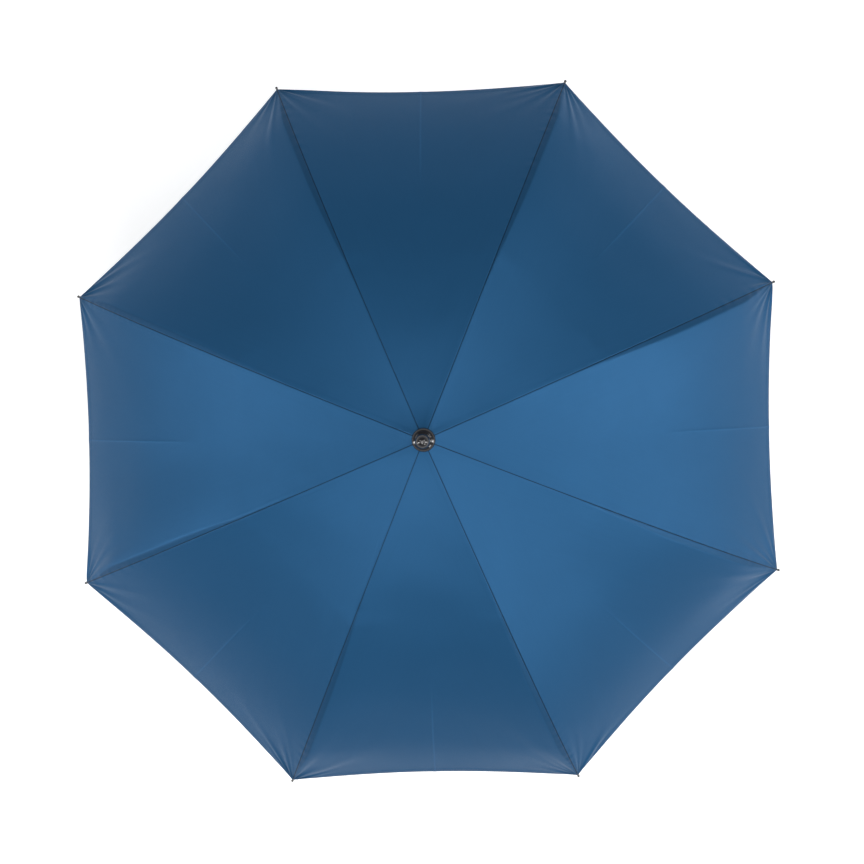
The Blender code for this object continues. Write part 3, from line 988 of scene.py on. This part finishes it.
    def crown_piece(self, number: int, surface: bpy.types.Material) -> None:
        """Makes the cloth from under the cap to just past the crown.

        Args:
            number: the rib's number.
            surface: the cloth's material.
        """
        start, end = self.length_at(self.disc_start), self.length_at(self.disc_end)
        piece = self.cloth(f"crown_cloth_{number}", number, 0, start, end, 22, 24, surface)
        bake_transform(piece)
        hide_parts("canopy_center")
        log.info("%s: canopy_fabric, from frame to rib_%d", piece.name, number)

    def cut(self, stretch: Stretch) -> Cut:
        """Looks up where a stretch lies on the rib and how it gathers.

        Args:
            stretch: the shoulder, inner or outer stretch.

        Returns:
            Its limits, nodes and divisions.
        """
        start, shoulder = self.length_at(self.disc_end), self.length_at(self.shoulder_end)
        if stretch is Stretch.SHOULDER:
            return Cut(start, shoulder, self.keep_shoulder, "rib", "canopy_inner", 20, 24)
        if stretch is Stretch.INNER:
            return Cut(shoulder, self.line.joint_at, self.keep_inner, "rib", "canopy_inner", 64, 48)
        return Cut(self.line.joint_at, self.hem_at, self.keep_outer, "rib_end", "canopy_outer", 116, 84, True)

    def half_panel(self, number: int, side: int, stretch: Stretch, surface: bpy.types.Material) -> None:
        """Makes half of a panel's shoulder, inner or outer stretch, riding on its rib's body.

        Args:
            number: the rib's number.
            side: 1 for the half panel after the rib, counter-clockwise from above, and -1 before it.
            stretch: which stretch.
            surface: the cloth's material.
        """
        cut = self.cut(stretch)
        name = f"{stretch.value}_cloth_{number}_{'left' if side > 0 else 'right'}"
        end = None if cut.hemmed else cut.end
        piece = self.cloth(name, number, side, cut.start, end, cut.along, cut.across, surface)
        attach(piece, f"{cut.body}_{number}", "canopy_fabric", f"{cut.node}_{number}")
        axis, anchor = self.gather(side, cut)
        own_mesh(piece)
        inner, outer = self.line.at(cut.start)[0], self.line.at(cut.end)[0]

    def gather(self, side: int, cut: Cut) -> tuple[Vector, Vector]:
        """Finds how a half panel flattens towards its rib, for a rib along +X.

        Args:
            side: 1 or -1, its side of the rib.
            cut: its stretch.

        Returns:
            The axis along which it flattens, and a point of the rib.
        """
        (r1, z1), (r2, z2) = self.line.at(cut.start, self.over_rod), self.line.at(cut.end, self.over_rod)
        chord = Vector((r2 - r1, 0, z2 - z1)).normalized()
        across = Vector((-sin(HALF_PANEL), side * cos(HALF_PANEL), 0))
        axis = (across - across.dot(chord) * chord).normalized()
        outward = side * chord.cross(axis)
        lean = self.tuck_under if side > 0 else self.lap_over
        radius, z = self.line.at((cut.start + cut.end) / 2, self.over_rod)
        return axis * cos(lean) + outward * sin(lean), Vector((radius, 0, z))


# Plastic and metal pieces


@dataclass
class TopFittings:
    """Ferrule with its domed end, and the cap that clamps the canopy's middle."""

    bore: float = 5.35 * MM
    ferrule_end: float = 9.6 * MM
    dome_turn: float = radians(80)

    def build(self, surface: bpy.types.Material) -> None:
        """Makes both pieces inside their CAD boxes."""
        self.cap(surface)
        self.ferrule(surface)

    def cap(self, surface: bpy.types.Material) -> None:
        """Makes the low turned cap that clamps the canopy.

        Args:
            surface: its material.
        """
        low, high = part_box("top_cap")
        wide, base, top = high.x, low.z, high.z
        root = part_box("ferrule")[1].x
        profile = [
            (self.bore, base),
            (wide - 0.9 * MM, base),
            (wide - 0.25 * MM, base + 0.25 * MM),
            (wide, base + 0.9 * MM),
            (wide - 0.1 * MM, base + 1.8 * MM),
            (wide - 0.7 * MM, base + 3.1 * MM),
            (wide - 1.7 * MM, base + 4.3 * MM),
            (wide - 3.0 * MM, base + 5.3 * MM),
            (wide - 4.3 * MM, base + 5.95 * MM),
            (root + 0.9 * MM, top - 0.35 * MM),
            (root + 0.2 * MM, top),
            (self.bore, top),
        ]
        piece = new_piece("cap", lathe(profile, 96), surface, 30)
        attach(rounded_edges(piece, 0.15 * MM), "frame", "gloss_plastic", "top_cap")

    def ferrule(self, surface: bpy.types.Material) -> None:
        """Makes the tapered ferrule, its domed end dimpled in the middle.

        Args:
            surface: its material.
        """
        low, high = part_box("ferrule")
        root, end = high.x, self.ferrule_end
        dome = high.z - end * 0.95
        profile = [
            (0, low.z),
            (root, low.z),
            (root, low.z + 0.8 * MM),
            (end + 0.25 * MM, low.z + 2.2 * MM),
            (end + 0.2 * MM, low.z + 10 * MM),
            (end, dome - 3 * MM),
        ]
        for i in range(19):
            turn = self.dome_turn * i / 18
            rise = (high.z - dome) * sin(turn) / sin(self.dome_turn)
            profile.append((end * cos(turn), dome + rise))
        profile += [(0.95 * MM, high.z), (0.7 * MM, high.z - 0.25 * MM), (0, high.z - 0.3 * MM)]
        piece = new_piece("ferrule_shell", lathe(profile, 96), surface, 30)
        attach(rounded_edges(piece, 0.12 * MM), "frame", "gloss_plastic", "ferrule")


@dataclass
class RibWork:
    """Ribs, their ends and tips, and the stretchers."""

    line: RibLine
    rod: float = 1.5 * MM
    rod_end: float = 1.1 * MM
    eye: float = 2.1 * MM
    hole: float = 0.95 * MM
    tab: float = 2 * MM
    tab_length: float = 6 * MM
    crown_tab: float = 8.5 * MM
    sleeve: float = 2.05 * MM
    tip_length: float = 16 * MM
    cheek: float = 2.2 * MM
    cheek_inner: float = 1.3 * MM
    cheek_outer: float = 2.1 * MM
    drop: float = 6 * MM

    def build(self, steel: bpy.types.Material, rivet: bpy.types.Material,
              plastic: bpy.types.Material) -> None:
        """Makes the pieces of all eight ribs.

        Args:
            steel: the rods' material.
            rivet: the rivets' material.
            plastic: the tips' material.
        """
        for number in range(1, RIBS + 1):
            self.inner_rib(number, steel, rivet)
            self.rib_end(number, steel)
            self.tip(number, plastic)
            self.stretcher(number, steel)

    def joint(self) -> tuple[Vector, Vector, Vector]:
        """Finds the bracket's upper pivot.

        Returns:
            The pivot and the rib's directions out and down there, as (x, z).
        """
        radius, z = self.line.at(self.line.joint_at)
        slope = self.line.slope_at(self.line.joint_at)
        return Vector((radius, z)), Vector((cos(slope), -sin(slope))), Vector((-sin(slope), -cos(slope)))

    def inner_rib(self, number: int, steel: bpy.types.Material, rivet: bpy.types.Material) -> None:
        """Makes the rod from its eye on the crown's wire to the riveted bracket.

        Args:
            number: the rib's number.
            steel: the rod's material.
            rivet: the rivets' material.
        """
        line, azimuth = self.line, rib_azimuth(number)
        hub = Vector((line.pivot_radius, line.crown_z))
        at, out, down = self.joint()
        tab = eye_plate(hub, -line.start_slope, self.crown_tab, self.tab, self.eye, self.hole)
        bar = swept(line.stations(7.5 * MM, line.joint_at - 5 * MM, 26, self.rod, self.rod))
        ends = line.joint_at - 12 * MM, line.joint_at - 3.4 * MM
        sleeve = swept(line.stations(*ends, 4, self.sleeve, self.sleeve), 18)
        outline = [at - out * 5 * MM + down * 1.9 * MM, at - out * 5 * MM - down * 1.9 * MM]
        for centre, start, stop in ((at, -90, 0), (at + down * self.drop, 0, 180)):
            for step in range(9):
                turn = radians(start + (stop - start) * step / 8)
                outline.append(centre + self.cheek * (cos(turn) * out + sin(turn) * down))
        outline.append(at - out * self.cheek + down * 2.6 * MM)
        flat = [(p.x, p.y) for p in outline]
        near = plate(flat, -self.cheek_outer, -self.cheek_inner)
        far = plate(flat, self.cheek_inner, self.cheek_outer)
        shape = moved(merged([tab, bar, sleeve, far, near]), (0, 0, 0), azimuth)
        piece = new_piece(f"inner_rib_{number}", shape, steel)
        attach(rounded_edges(piece, 0.12 * MM, 1), f"rib_{number}", "rib_steel", f"rib_{number}")
        heads = [self.rivet_shape(at), self.rivet_shape(at + down * self.drop)]
        shape = moved(merged(heads), (0, 0, 0), azimuth)
        attach(new_piece(f"rib_rivets_{number}", shape, rivet), f"rib_{number}", "wire_steel")

    def rivet_shape(self, at: Vector) -> bmesh.types.BMesh:
        """Makes a rivet across the bracket, with a low round head on each cheek.

        Args:
            at: its middle as (x, z).

        Returns:
            The closed rivet.
        """
        half = self.cheek_outer
        head = [
            (0.75 * MM, half),
            (1.2 * MM, half),
            (1.2 * MM, half + 0.05 * MM),
            (0.8 * MM, half + 0.4 * MM),
            (0, half + 0.45 * MM),
        ]
        bm = lathe([(r, -z) for r, z in reversed(head)] + head, 18)
        bmesh.ops.rotate(bm, matrix=Matrix.Rotation(pi / 2, 3, "X"), verts=bm.verts)
        bmesh.ops.translate(bm, vec=(at.x, 0, at.y), verts=bm.verts)
        return bm

    def rib_end(self, number: int, steel: bpy.types.Material) -> None:
        """Makes the rod from the bracket to the tip, thinner towards its end.

        Args:
            number: the rib's number.
            steel: its material.
        """
        line = self.line
        slope = line.slope_at(line.joint_at)
        tab = eye_plate(self.joint()[0], -slope, self.tab_length, self.tab, self.eye, self.hole)
        bar = swept(line.stations(line.joint_at + 5 * MM, line.length - 1 * MM, 34, self.rod, self.rod_end))
        shape = moved(merged([tab, bar]), (0, 0, 0), rib_azimuth(number))
        piece = new_piece(f"outer_rib_{number}", shape, steel)
        attach(rounded_edges(piece, 0.12 * MM, 1), f"rib_end_{number}", "rib_steel", f"rib_end_{number}")

    def tip(self, number: int, plastic: bpy.types.Material) -> None:
        """Makes the moulded tip, with a waist for the tying thread and a round end.

        Args:
            number: the rib's number.
            plastic: its material.
        """
        long, bore = self.tip_length, self.rod_end + 0.12 * MM
        profile = [
            (0, 8 * MM),
            (bore, 8 * MM),
            (bore, 0),
            (2.0 * MM, 0),
            (2.2 * MM, 0.3 * MM),
            (2.2 * MM, 1.4 * MM),
            (1.7 * MM, long - 7 * MM),
            (1.62 * MM, long - 5.4 * MM),
            (1.75 * MM, long - 4.1 * MM),
            (1.95 * MM, long - 3.2 * MM),
            (1.95 * MM, long - 2.2 * MM),
            (1.75 * MM, long - 1.25 * MM),
            (1.35 * MM, long - 0.55 * MM),
            (0.75 * MM, long - 0.12 * MM),
            (0, long),
        ]
        bm = lathe(profile, 32)
        turn = Matrix.Rotation(pi / 2 + self.line.slope_at(self.line.length), 3, "Y")
        bmesh.ops.rotate(bm, matrix=turn, verts=bm.verts)
        radius, z = self.line.at(self.line.length - 10.7 * MM)
        piece = new_piece(f"tip_{number}", moved(bm, (radius, 0, z), rib_azimuth(number)), plastic, 50)
        attach(piece, f"rib_end_{number}", "tip_plastic", f"rib_tip_{number}")

    def stretcher(self, number: int, steel: bpy.types.Material) -> None:
        """Makes the strut from the runner's wire to the rib's bracket, with an eye at each end.

        Args:
            number: the rib's number.
            steel: its material.
        """
        at, _, down = self.joint()
        upper = at + down * self.drop
        lower = Vector((self.line.pivot_radius, 2 * upper.y - self.line.crown_z))
        run = (upper - lower).normalized()
        angle = atan2(run.y, run.x)
        first, last = lower + run * 4.6 * MM, upper - run * 4.6 * MM
        stations = []
        for share, thick in ((0, 0.7), (0.012, 0.95), (0.03, 1.0), (0.97, 1.0), (0.988, 0.95), (1, 0.7)):
            at_share = first.lerp(last, share)
            stations.append((at_share.x, at_share.y, self.rod * thick))
        shapes = [
            eye_plate(lower, angle, self.tab_length, self.tab, self.eye, self.hole),
            eye_plate(upper, angle + pi, self.tab_length, self.tab, self.eye, self.hole),
            swept(stations),
        ]
        shape = moved(merged(shapes), (0, 0, 0), rib_azimuth(number))
        piece = new_piece(f"strut_{number}", shape, steel)
        attach(rounded_edges(piece, 0.12 * MM, 1), f"stretcher_{number}", "rib_steel", f"stretcher_{number}")


@dataclass
class ShaftWork:
    """Shaft, crown, runner, wires, catches, collar and handle."""

    line: RibLine
    wire: float = 0.75 * MM
    crook_turn: float = radians(188)
    collar_bore: float = 5.1 * MM

    def build(self, finishes: dict[str, bpy.types.Material]) -> None:
        """Dresses the CAD nodes whose shape is right and makes the rest anew.

        Args:
            finishes: materials by the record's slots.
        """
        slots = {
            "crown": "black_plastic",
            "runner": "black_plastic",
            "shaft": "shaft_steel",
            "top_catch": "spring_steel",
            "bottom_catch": "spring_steel",
        }
        for node, slot in slots.items():
            self.refined(node, slot, finishes[slot])
        for node in ("crown_wire", "runner_wire"):
            self.wire_ring(node, finishes["wire_steel"])
        self.handle(finishes["grip_plastic"])
        self.collar(finishes["collar_trim"])

    def refined(self, node: str, slot: str, surface: bpy.types.Material) -> None:
        """Makes a merged copy of a CAD node, with smooth round sides and softened edges.

        Args:
            node: the node's name.
            slot: the record's material slot.
            surface: its material.
        """
        bm = bmesh.new()
        bm.from_mesh(frame["nodes"][node].data)
        bmesh.ops.remove_doubles(bm, verts=bm.verts, dist=2e-6)
        bmesh.ops.dissolve_limit(bm, angle_limit=radians(1), verts=bm.verts, edges=bm.edges)
        piece = new_piece(f"{node}_body", bm, surface, 30)
        body = next(b for b, nodes in frame["record"]["behaviour"]["bodies"].items() if node in nodes)
        attach(rounded_edges(piece, 0.2 * MM, 2, 32), body, slot, node)

    def wire_ring(self, node: str, surface: bpy.types.Material) -> None:
        """Makes a wire closed to a ring round its hub.

        Args:
            node: the CAD piece it replaces.
            surface: its material.
        """
        low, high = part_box(node)
        radius, z = self.line.pivot_radius, (low.z + high.z) / 2
        angles = [tau * i / 12 for i in range(12)]
        profile = [(radius + self.wire * cos(a), z + self.wire * sin(a)) for a in angles]
        body = "frame" if node == "crown_wire" else "runner"
        attach(new_piece(f"{node}_ring", lathe(profile, 72), surface, 60), body, "wire_steel", node)

    def handle(self, surface: bpy.types.Material) -> None:
        """Makes the crook handle, with a ring groove near its top and a button end.

        Args:
            surface: its material.
        """
        low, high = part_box("handle")
        top, radius = high.z, (high.x - low.x) / 2
        bend, bend_z = (high.y - low.y) / 2 - radius, -high.z
        stations = [
            (0, top, radius - 1.2 * MM),
            (0, top - 0.35 * MM, radius - 0.45 * MM),
            (0, top - 1.2 * MM, radius),
        ]
        for depth, groove in ((5.0, 0), (5.5, 0.5), (6.3, 0.5), (6.8, 0)):
            stations.append((0, top - depth * MM, radius - groove * MM))
        stations += [(0, top - (7.5 + 8 * i) * MM, radius) for i in range(1, 12)]
        stations.append((0, bend_z, radius))
        for i in range(1, 33):
            turn = self.crook_turn * i / 32
            stations.append((bend * (cos(turn) - 1), bend_z - bend * sin(turn), radius))
        end_x, end_z, _ = stations[-1]
        along_x, along_z = -sin(self.crook_turn), -cos(self.crook_turn)
        for reach, share in ((1.0, 1), (1.5, 0.94), (2.1, 0.94), (2.6, 1)):
            stations.append((end_x + reach * MM * along_x, end_z + reach * MM * along_z, radius * share))
        for share in (0.35, 0.5, 0.65, 0.78, 0.88, 0.95, 0.985):
            reach, thick = radius * 0.92 * share, radius * (1 - share**2) ** 0.5
            stations.append((end_x + reach * along_x, end_z + reach * along_z, thick))
        bm = swept(stations, 40)
        bmesh.ops.rotate(bm, matrix=Matrix.Rotation(pi / 2, 3, "Z"), verts=bm.verts)
        attach(new_piece("crook_handle", bm, surface, 50), "frame", "grip_plastic", "handle")

    def collar(self, surface: bpy.types.Material) -> None:
        """Makes the polished ring between shaft and handle, grooved near its foot.

        Args:
            surface: its material.
        """
        low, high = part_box("collar")
        wide, top, round_top = high.x, high.z - low.z, 3.6 * MM
        profile = [
            (self.collar_bore, 0),
            (wide - 0.3 * MM, 0),
            (wide, 0.4 * MM),
            (wide, top * 0.2),
            (wide - 0.7 * MM, top * 0.24),
            (wide - 0.7 * MM, top * 0.3),
            (wide, top * 0.34),
            (wide, top * 0.62),
        ]
        for i in range(9):
            angle = pi / 2 * i / 8
            profile.append((wide - round_top * (1 - cos(angle)), top * (0.62 + 0.38 * sin(angle))))
        profile.append((self.collar_bore, top))
        bm = moved(lathe(profile, 72), (0, 0, low.z))
        attach(new_piece("collar_ring", bm, surface, 35), "frame", "collar_trim", "collar")


# Studio


@dataclass
class Studio:
    """Pale floor, soft lights and the camera over the umbrella."""

    lean: tuple[float, float] = (0.024, 0.036)
    turn: float = radians(-1.2)
    distance: float = 3.58
    lens: float = 105.0
    aim: tuple[float, float, float] = (0.0056, 0.0014, 0.42)
    horizon: float = 0.8
    zenith: float = 0.12
    floor_gap: float = 0.4 * MM

    def build(self) -> None:
        """Sets up everything that isn't the object."""
        self.floor()
        self.sky()
        self.lights()
        self.camera()
        bpy.context.scene.view_settings.view_transform = "Standard"
        log.info("studio: floor, lights and camera")

    def floor(self) -> None:
        """Lays a wide pale floor just under the crook."""
        low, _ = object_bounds()
        bm = bmesh.new()
        bmesh.ops.create_grid(bm, x_segments=2, y_segments=2, size=9)
        bmesh.ops.translate(bm, vec=(0, 0, low.z - self.floor_gap), verts=bm.verts)
        graph = Graph("floor_paper")
        place = graph.add("TexCoord").outputs["Object"]
        shade = graph.spread(graph.noise(place, 3.0), 0.99, 1.01)
        graph.put("Base Color", graph.tinted((0.9, 0.9, 0.9), shade))
        graph.put("Roughness", 0.9)
        graph.put("Emission Color", (1, 1, 1, 1))
        graph.put("Emission Strength", 0.45)
        new_piece("floor", bm, graph.material)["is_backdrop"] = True

    def sky(self) -> None:
        """Lights the scene from all round, brighter at the horizon than above."""
        world = bpy.data.worlds.new("studio")
        world.use_nodes = True
        tree = world.node_tree
        background = tree.nodes["Background"]
        place = tree.nodes.new("ShaderNodeTexCoord")
        split = tree.nodes.new("ShaderNodeSeparateXYZ")
        rise = tree.nodes.new("ShaderNodeMapRange")
        rise.interpolation_type = "SMOOTHSTEP"
        levels = {"From Min": 0.15, "From Max": 0.5, "To Min": self.horizon, "To Max": self.zenith}
        for socket, level in levels.items():
            rise.inputs[socket].default_value = level
        tree.links.new(place.outputs["Generated"], split.inputs[0])
        tree.links.new(split.outputs[2], rise.inputs["Value"])
        tree.links.new(rise.outputs[0], background.inputs["Strength"])
        background.inputs["Color"].default_value = (1, 1, 1, 1)
        bpy.context.scene.world = world

    def lights(self) -> None:
        """Hangs soft boxes at the sides, small fills round them and a long one overhead."""
        boxes = (
            ("softbox_left", (-2.6, -0.8, 2.45), (0.7, 3.0), 26),
            ("softbox_right", (2.6, -0.4, 2.5), (0.7, 3.4), 32),
            ("strip_left", (-2.5, -0.65, 2.35), (0.35, 0.9), 15),
            ("strip_right", (2.5, -0.55, 2.35), (0.35, 0.9), 13),
            ("low_left", (-3.0, -0.9, 1.0), (0.25, 0.9), 5),
            ("low_right", (3.0, -0.9, 1.0), (0.25, 0.9), 5),
            ("fill_front", (1.8, -1.9, 2.6), (0.8, 0.8), 21),
            ("fill_back", (1.45, 0.85, 3.0), (0.8, 0.8), 13),
            ("fill_left", (-1.5, 0.7, 3.0), (0.8, 0.8), 7),
            ("overhead", (0, -0.85, 3.8), (0.9, 2.2), 46),
        )
        for name, at, size, power in boxes:
            data = bpy.data.lights.new(name, "AREA")
            data.shape = "RECTANGLE"
            data.size, data.size_y = size
            data.energy = power
            lamp = bpy.data.objects.new(name, data)
            lamp.location = at
            lamp.rotation_euler = (Vector((0, 0, 0.5)) - Vector(at)).to_track_quat("-Z", "Y").to_euler()
            bpy.context.scene.collection.objects.link(lamp)

    def camera(self) -> None:
        """Sets a camera that looks down the shaft, with a slight lean."""
        data = bpy.data.cameras.new("camera")
        data.lens, data.sensor_width = self.lens, 36
        data.clip_start, data.clip_end = 0.05, 50
        data.dof.use_dof = False
        camera = bpy.data.objects.new("camera", data)
        back = Vector((*self.lean, 1)).normalized()
        up = Vector((-sin(self.turn), cos(self.turn), 0))
        across = up.cross(back).normalized()
        up = back.cross(across)
        turn = Matrix((across, up, back)).transposed().to_4x4()
        camera.matrix_world = Matrix.Translation(Vector(self.aim) + back * self.distance) @ turn
        bpy.context.scene.collection.objects.link(camera)
        bpy.context.scene.camera = camera


def finishes() -> dict[str, bpy.types.Material]:
    """Makes every material.

    Returns:
        The materials by the record's slot.
    """
    black = (0.011, 0.011, 0.013)
    made: dict[str, Finish] = {
        "canopy_fabric": CanopyCloth("canopy_cloth", (0.0125, 0.075, 0.176), 0.42, 0.45),
        "rib_steel": LacqueredSteel("rib_lacquer", (0.022, 0.022, 0.025), 0.38, 0.3),
        "wire_steel": BrightMetal("drawn_wire", (0.5, 0.5, 0.51), 0.3, 1.0),
        "shaft_steel": LacqueredSteel("shaft_lacquer", (0.02, 0.02, 0.022), 0.28, 0.2),
        "spring_steel": BrightMetal("spring_strip", (0.55, 0.55, 0.56), 0.3, 1.0),
        "black_plastic": MouldedPlastic("hub_plastic", black, 0.4),
        "gloss_plastic": MouldedPlastic("gloss_plastic", black, 0.12, grain=0.000004, coat=0.4),
        "tip_plastic": MouldedPlastic("tip_plastic", black, 0.2, grain=0.000006, coat=0.2),
        "grip_plastic": MouldedPlastic("grip_plastic", black, 0.42, grain=0.00004),
        "collar_trim": BrightMetal("collar_metal", (0.6, 0.6, 0.61), 0.16, 1.0),
    }
    return {slot: finish.build() for slot, finish in made.items()}


def main() -> None:
    """Builds the umbrella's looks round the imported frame."""
    logging.basicConfig(level=logging.INFO, format="%(message)s")
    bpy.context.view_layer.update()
    fold = next(j for j in frame["joints"] if j["name"] == "umbrella_fold")
    x, y, z = fold["pos_m"]
    line = RibLine(pivot_radius=hypot(x, y), crown_z=z)
    surfaces = finishes()
    Canopy(line).build(surfaces["canopy_fabric"])
    TopFittings().build(surfaces["gloss_plastic"])
    RibWork(line).build(surfaces["rib_steel"], surfaces["wire_steel"], surfaces["tip_plastic"])
    ShaftWork(line).build(surfaces)
    Studio().build()


if __name__ == "__main__":
    main()
